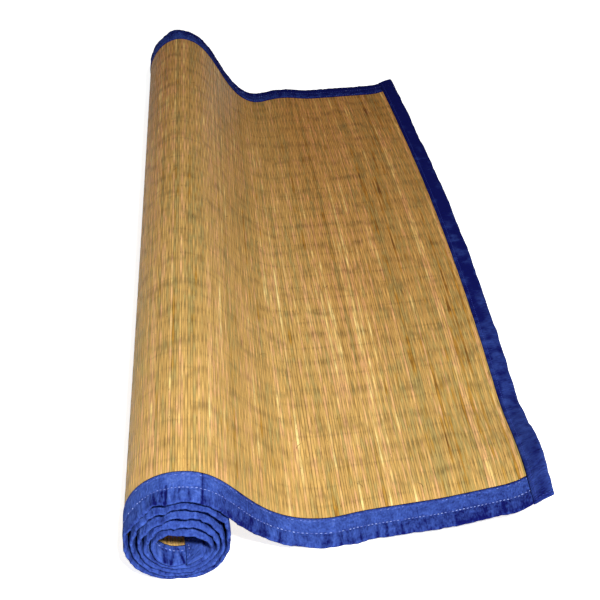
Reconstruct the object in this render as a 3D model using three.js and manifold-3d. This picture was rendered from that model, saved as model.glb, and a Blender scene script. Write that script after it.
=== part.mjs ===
// A reed floor mat with cloth-bound edges, partly unrolled on the floor.
// One end is still wound into a roll. The sheet leaves the top of the roll, falls to the floor in an S-curve
// and lies there, its free end curling up.
// Millimetres, +Z up. The reeds run along Y, and the mat unrolls towards +X.
import * as THREE from "three";
import { mergeVertices } from "three/addons/utils/BufferGeometryUtils.js";
import Module from "manifold-3d";

const wasm = await Module();
wasm.setup();

// Driving dimensions.
const MAT_WIDTH = 1220; // along the reeds
const PANEL_THICKNESS = 1.6;
const CLOTH_THICKNESS = 1; // two layers of tape
const GAP = 0.3; // between the panel and the cloth round it
const END_GAP = 0.5; // between a long binding and the cloth of the ends
const LONG_BINDING_WIDTH = 40; // on the side that faces up
const LONG_BINDING_UNDER_WIDTH = 25; // on the other side
const END_BINDING_WIDTH = 20;

const HALF_PANEL = PANEL_THICKNESS / 2;
const HALF_CAVITY = HALF_PANEL + GAP;
const HALF_BINDING = HALF_CAVITY + CLOTH_THICKNESS; // a binding that rests holds the sheet's middle this high
const PANEL_INSET = CLOTH_THICKNESS + GAP; // from the binding's outside to the panel's edge

// The roll: the middle of the sheet, as a radius in eight directions round the core, for its outer and its
// inner turn. Directions are degrees from +X over the top. The far end of the roll is wound more loosely.
const CORE_X = 3;
const CORE_Z = 40;
const TURNS_BETWEEN = 4.4; // from the outer to the inner turn, in every direction
const ROLL_START_DEG = 80; // where the sheet leaves the roll
const ROLL_TURNS = 4.71;
const ROLL_ROWS = [
  { direction: 0, nearOuter: 46.4, nearInner: 22, farOuter: 46.4, farInner: 22.8 },
  { direction: 45, nearOuter: 54.2, nearInner: 7.4, farOuter: 58.4, farInner: 16 },
  { direction: 90, nearOuter: 64.3, nearInner: 17.4, farOuter: 92, farInner: 18 },
  { direction: 135, nearOuter: 60.3, nearInner: 23.7, farOuter: 76, farInner: 22 },
  { direction: 180, nearOuter: 53.8, nearInner: 25.4, farOuter: 53.2, farInner: 25.2 },
  { direction: 225, nearOuter: 44, nearInner: 21, farOuter: 44.5, farInner: 21 },
  { direction: 270, nearOuter: 38.2, nearInner: 17.6, farOuter: 38.2, farInner: 17.6 },
  { direction: 315, nearOuter: 39.8, nearInner: 17, farOuter: 39.8, farInner: 17.4 },
];
const DIRECTION_STEP = 360 / ROLL_ROWS.length;
const FLAT_PITCH = 2 * HALF_BINDING + 0.3; // from turn to turn where the roll's weight presses them together

// The fall from the roll to the floor: where it lands, and how long each end keeps its direction.
const FALL = {
  near: { landingX: 162.5, topReach: 57, floorReach: 96.5 },
  far: { landingX: 138.5, topReach: 55.5, floorReach: 67 },
};

// The part on the floor: its free end along X at three places, and how far its long edges lift off the floor.
const FREE_END = { near: 381, middle: 406.5, far: 386 };
const LIFT_ROWS = [
  { share: 0, near: 0, far: 0 },
  { share: 0.1, near: 4.6, far: 5.5 },
  { share: 0.2, near: 6.9, far: 5.7 },
  { share: 0.34, near: 8.8, far: 0 },
  { share: 0.5, near: 11.3, far: 0 },
  { share: 0.7, near: 17.7, far: 0 },
  { share: 0.86, near: 23.5, far: 0 },
  { share: 1, near: 44.5, far: 10.7 },
];
const NEAR_LIFT_REACH = 250; // how far in from each long edge its lift has died away
const FAR_LIFT_REACH = 260;
const SAG_START = 67; // past a binding the panel sinks from the cloth's height onto the floor
const SAG_END = 130;
const SETTLE_SHARE = 0.25; // and it does so over this share of the way after the landing

// The long edges aren't quite straight: how far each is drawn in past the roll.
const EDGE_DRAW = { nearLanding: 22.5, nearEnd: 25.5, farLanding: 13.5, farEnd: 19 };

// How finely the surfaces are stepped.
const STEPS_PER_TURN = 20;
const FALL_STEPS = 10;
const MIN_STEP = 2;
const FLOOR_STEPS = 9;
const NEAR_STATIONS = [SAG_START, SAG_END, 190, NEAR_LIFT_REACH, 430]; // distances from each long edge
const FAR_STATIONS = [380, FAR_LIFT_REACH, SAG_START];
const CROSS_STATIONS = [...NEAR_STATIONS, ...FAR_STATIONS.map((distance) => MAT_WIDTH - distance)];

const REED = { color: 0xc79a55, roughness: 0.75 };
const CLOTH = { color: 0x2338a8, roughness: 0.9 };

const mix = (a, b, t) => a + (b - a) * t;
const smooth = (t) => {
  const c = Math.min(1, Math.max(0, t));
  return c * c * (3 - 2 * c);
};
const radians = THREE.MathUtils.degToRad;

// A smooth curve through four evenly spaced values, between the middle two.
function through(a, b, c, d, t) {
  const slopeB = (c - a) / 2;
  const slopeC = (d - b) / 2;
  const t2 = t * t;
  const t3 = t2 * t;
  return b * (2 * t3 - 3 * t2 + 1) + slopeB * (t3 - 2 * t2 + t) + c * (3 * t2 - 2 * t3) + slopeC * (t3 - t2);
}

// A column of the roll's table at any direction, read round the circle.
function rollColumn(value, degrees) {
  const place = (((degrees % 360) + 360) % 360) / DIRECTION_STEP;
  const row = Math.floor(place);
  const at = (k) => value(ROLL_ROWS[(row + k + ROLL_ROWS.length) % ROLL_ROWS.length]);
  return through(at(-1), at(0), at(1), at(2), place - row);
}

// The spiral keeps one pitch in each direction, so a turn's radius falls evenly with the turns wound so far.
const pitchOf = (row, side) => (row[side + "Outer"] - row[side + "Inner"]) / TURNS_BETWEEN;
function firstRadiusOf(row, side) {
  const turnsBefore = (((row.direction - ROLL_START_DEG) % 360) + 360) % 360 / 360;
  return row[side + "Outer"] + pitchOf(row, side) * turnsBefore;
}

function rollPoint(turn, side) {
  const degrees = ROLL_START_DEG + turn * 360;
  const first = rollColumn((row) => firstRadiusOf(row, side), degrees);
  const pitch = rollColumn((row) => pitchOf(row, side), degrees);
  const radius = first - pitch * turn;
  const z = CORE_Z + radius * Math.sin(radians(degrees));
  // The turns are pressed flat where the roll stands on the floor, each on the one outside it.
  const lowest = HALF_BINDING + Math.floor(turn) * FLAT_PITCH;
  return new THREE.Vector2(CORE_X + radius * Math.cos(radians(degrees)), Math.max(z, lowest));
}

function fallCurve(side) {
  const { landingX, topReach, floorReach } = FALL[side];
  const start = rollPoint(0, side);
  const away = start.clone().sub(rollPoint(0.01, side)).normalize();
  const landing = new THREE.Vector2(landingX, HALF_BINDING);
  return new THREE.CubicBezierCurve(
    start,
    start.clone().addScaledVector(away, topReach),
    landing.clone().sub(new THREE.Vector2(floorReach, 0)),
    landing,
  );
}
const fall = { near: fallCurve("near"), far: fallCurve("far") };

// A column of the lift table at any share of the way from the landing to the free end.
function liftColumn(column, share) {
  const next = Math.max(1, LIFT_ROWS.findIndex((row) => row.share >= share));
  const [a, b] = [LIFT_ROWS[next - 1], LIFT_ROWS[next]];
  return mix(a[column], b[column], (share - a.share) / (b.share - a.share));
}

function freeEndX(y) {
  const across = y / MAT_WIDTH;
  const bow = FREE_END.middle - (FREE_END.near + FREE_END.far) / 2;
  return mix(FREE_END.near, FREE_END.far, across) + bow * 4 * across * (1 - across);
}

// A long edge's lift is the same all across its binding, and dies away past it.
const liftLeft = (fromEdge, reach) => 1 - smooth((fromEdge - SAG_START) / (reach - SAG_START));

function floorPoint(share, y) {
  const landingX = mix(FALL.near.landingX, FALL.far.landingX, y / MAT_WIDTH);
  const nearLift = liftColumn("near", share) * liftLeft(y, NEAR_LIFT_REACH);
  const farLift = liftColumn("far", share) * liftLeft(MAT_WIDTH - y, FAR_LIFT_REACH);
  const fromLongEdge = Math.min(y, MAT_WIDTH - y);
  const fromFreeEnd = (1 - share) * (freeEndX(y) - landingX);
  const settling = mix(SAG_START, SAG_END, share / SETTLE_SHARE);
  const fromCloth = Math.min(fromLongEdge, fromFreeEnd, settling);
  const sag = (HALF_BINDING - HALF_PANEL) * smooth((fromCloth - SAG_START) / (SAG_END - SAG_START));
  return new THREE.Vector2(mix(landingX, freeEndX(y), share), HALF_BINDING - sag + nearLift + farLift);
}

// A place along the mat, from the end inside the roll to the free end: turns back from the top of the roll,
// a share of the fall or a share of the floor part.
const onRoll = (turn) => ({ part: "roll", at: turn });
const onFall = (share) => ({ part: "fall", at: share });
const onFloor = (share) => ({ part: "floor", at: share });

// The middle of the sheet at a place along the mat and a distance across it, in the XZ plane.
function middlePoint(place, y) {
  if (place.part === "floor") return floorPoint(place.at, y);
  const rolled = place.part === "roll";
  const pointOf = (side) => (rolled ? rollPoint(place.at, side) : fall[side].getPoint(place.at));
  return pointOf("near").lerp(pointOf("far"), y / MAT_WIDTH);
}

// The sheet's upward direction there, square to the way it runs, from two places close by.
const NUDGE = 0.002;
function upward(place, y) {
  const rolled = place.part === "roll";
  const [before, after] = (rolled ? [NUDGE, -NUDGE] : [-NUDGE, NUDGE]).map((shift) => {
    const at = place.at + shift;
    return middlePoint({ part: place.part, at: rolled ? at : Math.min(1, Math.max(0, at)) }, y);
  });
  const run = after.sub(before).normalize();
  return new THREE.Vector2(-run.y, run.x);
}

// How far the two long edges are drawn in at a place.
function edgeDraw(place) {
  if (place.part === "roll") return { near: 0, far: 0 };
  if (place.part === "fall") {
    const share = smooth(place.at);
    return { near: EDGE_DRAW.nearLanding * share, far: EDGE_DRAW.farLanding * share };
  }
  return {
    near: mix(EDGE_DRAW.nearLanding, EDGE_DRAW.nearEnd, place.at),
    far: mix(EDGE_DRAW.farLanding, EDGE_DRAW.farEnd, place.at),
  };
}

// A point of the mat: the place along it, the distance in from an edge, and the height off its middle.
function matPoint(place, side, inFromEdge, height) {
  const draw = edgeDraw(place);
  const y = side === "near" ? draw.near + inFromEdge : MAT_WIDTH - draw.far - inFromEdge;
  const point = middlePoint(place, y).addScaledVector(upward(place, y), height);
  return new THREE.Vector3(point.x, y, point.y);
}

// Places along the mat. The two ends of the mat get closer ones, for the cloth that is folded over them.
const END_STEPS = 3;
const innerRadius = rollPoint(ROLL_TURNS, "near").distanceTo(new THREE.Vector2(CORE_X, CORE_Z));
const turnsFor = (length) => length / (2 * Math.PI * innerRadius);
const floorLength = FREE_END.near - FALL.near.landingX;
const innerPlace = (length) => onRoll(ROLL_TURNS - turnsFor(length));
const outerPlace = (length) => onFloor(1 - length / floorLength);

function placesBetween(start, end, count) {
  const placeAt = (_, k) => ({ part: start.part, at: mix(start.at, end.at, k / count) });
  return Array.from({ length: count + 1 }, placeAt);
}
const innerEnd = placesBetween(innerPlace(PANEL_INSET), innerPlace(END_BINDING_WIDTH), END_STEPS);
const outerEnd = placesBetween(outerPlace(END_BINDING_WIDTH), outerPlace(PANEL_INSET), END_STEPS);
// The turns are stepped at the same angles, so that their flats lie over each other.
const rollSteps = Math.floor(innerPlace(END_BINDING_WIDTH + MIN_STEP).at * STEPS_PER_TURN);
const roll = placesBetween(onRoll(rollSteps / STEPS_PER_TURN), onRoll(0), rollSteps);
const drop = placesBetween(onFall(0), onFall(1), FALL_STEPS).slice(1);
const floor = placesBetween(onFloor(0), outerPlace(END_BINDING_WIDTH), FLOOR_STEPS).slice(1, -1);
const betweenEnds = [...roll, ...drop, ...floor];

// A closed body from rings of points: each ring is one section, and the two last rings are filled in.
function bodyFromRings(rings, fill) {
  const count = rings[0].length;
  const triangles = [];
  const add = (a, b, c) => triangles.push(a, b, c);
  rings.slice(1).forEach((ring, k) => {
    const last = rings[k];
    ring.forEach((_, i) => {
      const j = (i + 1) % count;
      add(last[i], ring[j], last[j]);
      add(last[i], ring[i], ring[j]);
    });
  });
  fill.forEach(([a, b, c]) => {
    const [first, end] = [rings[0], rings[rings.length - 1]];
    add(first[a], first[b], first[c]);
    add(end[a], end[c], end[b]);
  });
  return new THREE.BufferGeometry().setFromPoints(triangles);
}

// A slab of the sheet between two distances from the edges, as deep as twice halfDepth.
function slab(places, nearIn, farIn, halfDepth) {
  const crossPoints = (place, height) => {
    const draw = edgeDraw(place);
    const inner = CROSS_STATIONS.map((y) => matPoint(place, "near", y - draw.near, height));
    return [matPoint(place, "near", nearIn, height), ...inner, matPoint(place, "far", farIn, height)];
  };
  const rings = places.map((place) => [
    ...crossPoints(place, -halfDepth).reverse(),
    ...crossPoints(place, halfDepth),
  ]);
  const across = CROSS_STATIONS.length + 2;
  const fill = [];
  for (let k = 0; k < across - 1; k++) {
    const [bottom, nextBottom] = [across - 1 - k, across - 2 - k];
    const [top, nextTop] = [across + k, across + k + 1];
    fill.push([bottom, top, nextBottom], [nextBottom, top, nextTop]);
  }
  return bodyFromRings(rings, fill);
}

// Cloth folded over a long edge: a U in section, open towards the panel.
function longBinding(side) {
  const [width, underWidth] = [LONG_BINDING_WIDTH, LONG_BINDING_UNDER_WIDTH];
  const section = [
    [underWidth, -HALF_BINDING],
    [0, -HALF_BINDING],
    [0, HALF_BINDING],
    [width, HALF_BINDING],
    [width, HALF_CAVITY],
    [CLOTH_THICKNESS, HALF_CAVITY],
    [CLOTH_THICKNESS, -HALF_CAVITY],
    [underWidth, -HALF_CAVITY],
  ];
  const fill = [
    [0, 1, 6],
    [0, 6, 7],
    [1, 2, 5],
    [1, 5, 6],
    [2, 3, 4],
    [2, 4, 5],
  ];
  const start = innerPlace(END_BINDING_WIDTH + END_GAP);
  const end = outerPlace(END_BINDING_WIDTH + END_GAP);
  const rings = [start, ...betweenEnds, end].map((place) =>
    section.map(([inFromEdge, height]) => matPoint(place, side, inFromEdge, height)),
  );
  return side === "near" ? bodyFromRings(rings, fill) : bodyFromRings(rings.reverse(), fill);
}

function solidOf(geometry) {
  const merged = mergeVertices(geometry, 1e-3);
  return new wasm.Manifold(
    new wasm.Mesh({
      numProp: 3,
      vertProperties: merged.attributes.position.array,
      triVerts: new Uint32Array(merged.index.array),
    }),
  );
}

function geometryOf(solid) {
  const { vertProperties, triVerts } = solid.getMesh();
  return new THREE.BufferGeometry()
    .setAttribute("position", new THREE.BufferAttribute(vertProperties, 3))
    .setIndex(new THREE.BufferAttribute(triVerts, 1));
}

// Cloth folded over a short end and round both corners: a slab with a pocket for the panel.
function endBinding(clothPlaces, pocketPlaces) {
  const cloth = solidOf(slab(clothPlaces, 0, 0, HALF_BINDING));
  const pocket = solidOf(slab(pocketPlaces, CLOTH_THICKNESS, CLOTH_THICKNESS, HALF_CAVITY));
  return geometryOf(cloth.subtract(pocket));
}

function part(name, geometry, finish) {
  const mesh = new THREE.Mesh(geometry, new THREE.MeshStandardMaterial({ ...finish, metalness: 0 }));
  mesh.name = name;
  return mesh;
}

const panelPlaces = [...innerEnd, ...betweenEnds, ...outerEnd];
const mouthDepth = END_BINDING_WIDTH + CLOTH_THICKNESS; // a pocket is cut past the edge of its cloth
const outerCloth = [...outerEnd, outerPlace(0)];
const outerPocket = [outerPlace(mouthDepth), ...outerEnd, outerPlace(CLOTH_THICKNESS)];
const innerCloth = [innerPlace(0), ...innerEnd];
const innerPocket = [innerPlace(CLOTH_THICKNESS), ...innerEnd, innerPlace(mouthDepth)];

const mat = new THREE.Group();
mat.add(
  part("reed_panel", slab(panelPlaces, PANEL_INSET, PANEL_INSET, HALF_PANEL), REED),
  part("near_edge_binding", longBinding("near"), CLOTH),
  part("far_edge_binding", longBinding("far"), CLOTH),
  part("outer_end_binding", endBinding(outerCloth, outerPocket), CLOTH),
  part("inner_end_binding", endBinding(innerCloth, innerPocket), CLOTH),
);

// The origin is under the middle of the mat.
const box = new THREE.Box3().setFromObject(mat, true);
const centre = box.getCenter(new THREE.Vector3());
mat.position.set(-centre.x, -centre.y, -box.min.z);

export default mat;
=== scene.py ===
"""A reed floor mat with cloth-bound edges, partly unrolled on a pale floor."""

import math
from collections import namedtuple

import bpy
import numpy as np
from bpy.props import FloatProperty, FloatVectorProperty, PointerProperty
from mathutils import Matrix, Vector


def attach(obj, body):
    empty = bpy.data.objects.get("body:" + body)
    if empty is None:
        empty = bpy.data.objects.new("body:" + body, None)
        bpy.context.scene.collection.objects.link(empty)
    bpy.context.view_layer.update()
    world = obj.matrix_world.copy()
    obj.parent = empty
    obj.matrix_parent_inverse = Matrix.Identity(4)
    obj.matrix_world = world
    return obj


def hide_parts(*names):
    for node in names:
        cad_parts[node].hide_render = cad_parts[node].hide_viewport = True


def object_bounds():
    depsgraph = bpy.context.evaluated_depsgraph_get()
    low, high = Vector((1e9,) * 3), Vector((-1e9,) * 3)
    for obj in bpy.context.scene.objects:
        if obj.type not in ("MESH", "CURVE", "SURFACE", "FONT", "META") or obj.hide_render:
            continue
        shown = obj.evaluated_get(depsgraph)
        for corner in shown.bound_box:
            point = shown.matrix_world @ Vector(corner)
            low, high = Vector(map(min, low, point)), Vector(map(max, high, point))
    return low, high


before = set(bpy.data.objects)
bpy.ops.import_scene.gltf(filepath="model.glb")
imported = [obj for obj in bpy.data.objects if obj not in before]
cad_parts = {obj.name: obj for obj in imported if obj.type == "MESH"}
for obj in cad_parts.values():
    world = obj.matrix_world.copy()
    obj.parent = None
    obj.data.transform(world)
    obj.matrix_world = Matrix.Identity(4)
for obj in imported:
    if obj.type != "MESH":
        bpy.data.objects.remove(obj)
CAD_LOW, CAD_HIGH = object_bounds()

bl_info = {
    "name": "Reed Floor Mat",
    "version": (1, 0, 0),
    "blender": (4, 5, 0),
    "location": "3D View > Sidebar > Reed Mat",
    "description": "Builds a woven reed mat with cloth-bound edges, partly unrolled",
    "category": "Add Mesh",
}

MM = 0.001  # the mat's shape below is in millimetres, and its meshes are in metres


# ------------------------------------------------------------------ the shape in which the sheet lies
# X runs across the roll, Y along the reeds from the near long edge, and Z up from the floor.

MAT_WIDTH = (CAD_HIGH.y - CAD_LOW.y) / MM
RollRow = namedtuple("RollRow", "direction near_outer near_inner far_outer far_inner")
ROLL_ROWS = (  # the sheet's middle: radii of its outer and inner turn, degrees from +X over the top
    RollRow(0, 46.4, 22, 46.4, 22.8),
    RollRow(45, 54.2, 7.4, 58.4, 16),
    RollRow(90, 64.3, 17.4, 92, 18),
    RollRow(135, 60.3, 23.7, 76, 22),
    RollRow(180, 53.8, 25.4, 53.2, 25.2),
    RollRow(225, 44, 21, 44.5, 21),
    RollRow(270, 38.2, 17.6, 38.2, 17.6),
    RollRow(315, 39.8, 17, 39.8, 17.4),
)
ROLL = RollRow(*(np.array(column, float) for column in zip(*ROLL_ROWS)))
CORE_X, CORE_Z = 3, 40
TURNS_BETWEEN = 4.4  # from the outer to the inner turn
ROLL_START_DEG = 80  # where the sheet leaves the roll
ROLL_TURNS = 4.71
REST_HEIGHT = 2.1  # the sheet's middle where its binding rests on the floor
FLAT_PITCH = 4.5  # from turn to turn where the roll's weight presses them together

Fall = namedtuple("Fall", "landing_x top_reach floor_reach")
FALLS = {"near": Fall(162.5, 57, 96.5), "far": Fall(138.5, 55.5, 67)}

LiftRow = namedtuple("LiftRow", "share near far")
LIFT_ROWS = (  # how far the long edges lift off the floor, by the share of the way to the free end
    LiftRow(0, 0, 0),
    LiftRow(0.1, 4.6, 5.5),
    LiftRow(0.2, 6.9, 5.7),
    LiftRow(0.34, 8.8, 0),
    LiftRow(0.5, 11.3, 0),
    LiftRow(0.7, 17.7, 0),
    LiftRow(0.86, 23.5, 0),
    LiftRow(1, 44.5, 10.7),
)
LIFT = LiftRow(*(np.array(column, float) for column in zip(*LIFT_ROWS)))
LIFT_EASING = ((-0.05, 0.25), (0, 0.5), (0.05, 0.25))  # shares and weights that round the lift's corners off
FREE_END = {"near": 381, "middle": 406.5, "far": 386}  # along X
NEAR_LIFT_REACH, FAR_LIFT_REACH = 250, 260
SAG_START, SAG_END = 67, 130  # from a binding's height down onto the floor
SAG_DEPTH = 1.3
SETTLE_SHARE = 0.25
NEAR_LEAN, NEAR_LEAN_REACH = 2.4, 45  # the roll's near end leans over towards the fall
LEAN_FADE = 60  # the length before the roll's top over which the lean sets in
FLOOR_SOFTNESS = 0.2  # how softly what would go under the floor is pressed flat
EDGE_DRAW = {"near_landing": 22.5, "near_end": 25.5, "far_landing": 13.5, "far_end": 19}


def mix(a, b, t):
    return a + (b - a) * t


def smooth(t):
    t = np.clip(t, 0, 1)
    return t * t * (3 - 2 * t)


def around(column, degrees):
    """A column of the roll's table at any direction, on a smooth curve through its rows."""
    place = np.mod(degrees, 360) / (360 / len(column))
    row = np.floor(place).astype(int)
    a, b, c, d = (column[(row + k) % len(column)] for k in (-1, 0, 1, 2))
    t = place - row
    t2, t3 = t * t, t * t * t
    return (
        b * (2 * t3 - 3 * t2 + 1)
        + (c - a) / 2 * (t3 - 2 * t2 + t)
        + c * (3 * t2 - 2 * t3)
        + (d - b) / 2 * (t3 - t2)
    )


def roll_curve(turn, side):
    """Points (x, z) of the sheet's middle, by turns back from the top of the roll."""
    outer, inner = getattr(ROLL, side + "_outer"), getattr(ROLL, side + "_inner")
    pitch = (outer - inner) / TURNS_BETWEEN
    first = outer + pitch * np.mod(ROLL.direction - ROLL_START_DEG, 360) / 360
    degrees = ROLL_START_DEG + turn * 360
    radius = around(first, degrees) - around(pitch, degrees) * turn
    z = CORE_Z + radius * np.sin(np.radians(degrees))
    lowest = REST_HEIGHT + np.floor(turn) * FLAT_PITCH
    return np.stack([CORE_X + radius * np.cos(np.radians(degrees)), np.maximum(z, lowest)], -1)


def fall_curve(share, side):
    """Points (x, z) of the sheet's middle from the roll to the floor: a cubic curve, smooth at both ends."""
    fall = FALLS[side]
    start, before = roll_curve(np.array([0.0, 0.01]), side)
    away = (start - before) / np.linalg.norm(start - before)
    landing = np.array([fall.landing_x, REST_HEIGHT])
    handles = start + away * fall.top_reach, landing - np.array([fall.floor_reach, 0])
    t = share[:, None]
    return (
        start * (1 - t) ** 3
        + handles[0] * 3 * t * (1 - t) ** 2
        + handles[1] * 3 * t**2 * (1 - t)
        + landing * t**3
    )


# The curves of both long edges down to the floor, by the length of the sheet's midline from its inner end.
TURN_SAMPLES = np.linspace(ROLL_TURNS, 0, 2600)
FALL_SAMPLES = np.linspace(0, 1, 300)[1:]
EDGE_CURVES = {
    side: np.concatenate([roll_curve(TURN_SAMPLES, side), fall_curve(FALL_SAMPLES, side)])
    for side in ("near", "far")
}
MIDLINE = (EDGE_CURVES["near"] + EDGE_CURVES["far"]) / 2
LENGTHS = np.concatenate([[0], np.cumsum(np.linalg.norm(np.diff(MIDLINE, axis=0), axis=1))])
TURN_LENGTHS = LENGTHS[: len(TURN_SAMPLES)]
LANDING = LENGTHS[-1]
ROLL_TOP = TURN_LENGTHS[-1]
FLOOR_LENGTH = FREE_END["middle"] - MIDLINE[-1, 0]
SHEET_LENGTH = LANDING + FLOOR_LENGTH


def length_at_turn(turn):
    return float(np.interp(ROLL_TURNS - turn, ROLL_TURNS - TURN_SAMPLES, TURN_LENGTHS))


def free_end_x(y):
    across = y / MAT_WIDTH
    bow = FREE_END["middle"] - (FREE_END["near"] + FREE_END["far"]) / 2
    return mix(FREE_END["near"], FREE_END["far"], across) + bow * 4 * across * (1 - across)


def lift(column, share):
    return sum(weight * np.interp(share + shift, LIFT.share, column) for shift, weight in LIFT_EASING)


def lift_left(from_edge, reach):
    return 1 - smooth((from_edge - SAG_START) / (reach - SAG_START))


def middle(length, y):
    """The sheet's middle (x, z) at a length from its inner end and a distance from its near edge."""
    across = y / MAT_WIDTH
    near_x, near_z, far_x, far_z = (
        np.interp(length, LENGTHS, EDGE_CURVES[side][:, k]) for side in ("near", "far") for k in (0, 1)
    )
    x, z = mix(near_x, far_x, across), mix(near_z, far_z, across)
    share = (length - LANDING) / FLOOR_LENGTH
    landing_x = mix(FALLS["near"].landing_x, FALLS["far"].landing_x, across)
    x = np.where(share > 0, mix(landing_x, free_end_x(y), share), x)
    z = z + lift(LIFT.near, share) * lift_left(y, NEAR_LIFT_REACH)
    z = z + lift(LIFT.far, share) * lift_left(MAT_WIDTH - y, FAR_LIFT_REACH)
    from_free_end = (1 - share) * (free_end_x(y) - landing_x)
    settling = mix(SAG_START, SAG_END, share / SETTLE_SHARE)
    from_cloth = np.minimum(np.minimum(y, MAT_WIDTH - y), np.minimum(from_free_end, settling))
    return x, z - SAG_DEPTH * smooth((from_cloth - SAG_START) / (SAG_END - SAG_START))


def sheet_point(length, y, height):
    """Points of the sheet in the frame, in metres: so far along it, across it and above its middle."""
    length, y, height = np.broadcast_arrays(length, y, height)
    nudge = 0.4
    x, z = middle(length, y)
    x0, z0 = middle(length - nudge, y)
    x1, z1 = middle(length + nudge, y)
    run_x, run_z = x1 - x0, z1 - z0
    run = np.hypot(run_x, run_z)
    x = x + NEAR_LEAN * (1 - smooth(y / NEAR_LEAN_REACH)) * smooth((ROLL_TOP - length) / LEAN_FADE)
    # What would go under the floor is pressed flat on it.
    z = z + height * run_x / run
    z = (z + np.hypot(z, FLOOR_SOFTNESS)) / 2
    return (np.stack([x - height * run_z / run, y, z], -1) + FRAME_SHIFT) * MM


def edge_y(length, side):
    """Where a long edge is at a length of the sheet: it is drawn in a little past the roll."""
    share = np.clip((length - LANDING) / FLOOR_LENGTH, 0, 1)
    falling = smooth((length - ROLL_TOP) / (LANDING - ROLL_TOP))
    draw = falling * mix(EDGE_DRAW[side + "_landing"], EDGE_DRAW[side + "_end"], share)
    return draw if side == "near" else MAT_WIDTH - draw


def across_sheet(length, share):
    """The distance across the sheet at a share of the way from its near to its far edge."""
    return mix(edge_y(length, "near"), edge_y(length, "far"), share)


# The frame's origin is under the middle of the solids' box. They reach its right side at this distance from
# the near edge.
WIDEST_Y = 840
FRAME_SHIFT = np.array([CAD_HIGH.x / MM - free_end_x(WIDEST_Y), CAD_LOW.y / MM, 0])


# ------------------------------------------------------------------ helpers for meshes


def vectors(x, y, z):
    """Vectors from their three parts, whose shapes are brought to one."""
    return np.stack(np.broadcast_arrays(x, y, z), -1)


def noise(u, v, seed):
    """Smooth random values from -1 to 1 over a grid of whole numbers, the same on every run."""
    u, v = np.broadcast_arrays(np.asarray(u, float), np.asarray(v, float))
    iu, iv = np.floor(u), np.floor(v)
    fu, fv = smooth(u - iu), smooth(v - iv)

    def corner(du, dv):
        wave = np.sin((iu + du) * 127.1 + (iv + dv) * 311.7 + seed * 74.7) * 43758.5453
        return 2 * (wave - np.floor(wave)) - 1

    low = mix(corner(0, 0), corner(1, 0), fu)
    high = mix(corner(0, 1), corner(1, 1), fu)
    return mix(low, high, fv)


def tube_faces(tubes, rings, sides):
    """The quads round like closed tubes, and their end caps. Vertices are numbered by tube, ring and side."""
    tube, ring, side = np.ogrid[:tubes, : rings - 1, :sides]
    after = (side + 1) % sides
    corners = [(0, side), (0, after), (1, after), (1, side)]
    quads = np.stack([(tube * rings + ring + step) * sides + at for step, at in corners], -1)
    first = np.arange(tubes)[:, None] * rings * sides + np.arange(sides)
    last = first + (rings - 1) * sides
    return [quads.reshape(-1, 4), np.concatenate([first[:, ::-1], last])]


LAYOUT_MARGIN = 0.02  # of a row's height, left free over and under its strips


def tube_layout(tubes, rings, sides, strips, rows):
    """Where those faces go in a square for baking: tubes are cut into strips, side by side in rows."""
    per_strip = math.ceil((rings - 1) / strips)
    per_row = math.ceil(tubes * strips / rows)
    tube, ring, side = np.ogrid[:tubes, : rings - 1, :sides]
    cell = tube * strips + ring // per_strip
    u = [(cell % per_row + (side + step) / sides) / per_row for step in (0, 1, 1, 0)]
    row = cell // per_row + LAYOUT_MARGIN
    inside = 1 - 2 * LAYOUT_MARGIN
    v = [(row + inside * (ring % per_strip + step) / per_strip) / rows for step in (0, 0, 1, 1)]
    quads = np.stack([np.stack(np.broadcast_arrays(a, b), -1) for a, b in zip(u, v)], -2).reshape(-1, 2)
    turn = np.linspace(0, math.tau, sides, endpoint=False)
    ends = np.concatenate([np.arange(tubes), np.arange(tubes)])[:, None]
    cell = ends * strips
    height = np.repeat([LAYOUT_MARGIN / 2, 1 - LAYOUT_MARGIN / 2], tubes)[:, None]
    cap_u = (cell % per_row + 0.5 + 0.4 * np.cos(turn)) / per_row
    cap_v = (cell // per_row + height + 0.008 * np.sin(turn)) / rows
    return np.concatenate([quads, np.stack([cap_u, cap_v], -1).reshape(-1, 2)])


def facing_out(points, faces):
    """The same faces, turned round if they face into the body."""
    volume = 0
    for group in faces:
        for k in range(1, group.shape[1] - 1):
            a, b, c = (points[group[:, i]] for i in (0, k, k + 1))
            volume += np.einsum("ij,ij->", a, np.cross(b, c))
    return faces if volume > 0 else [group[:, ::-1] for group in faces]


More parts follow.
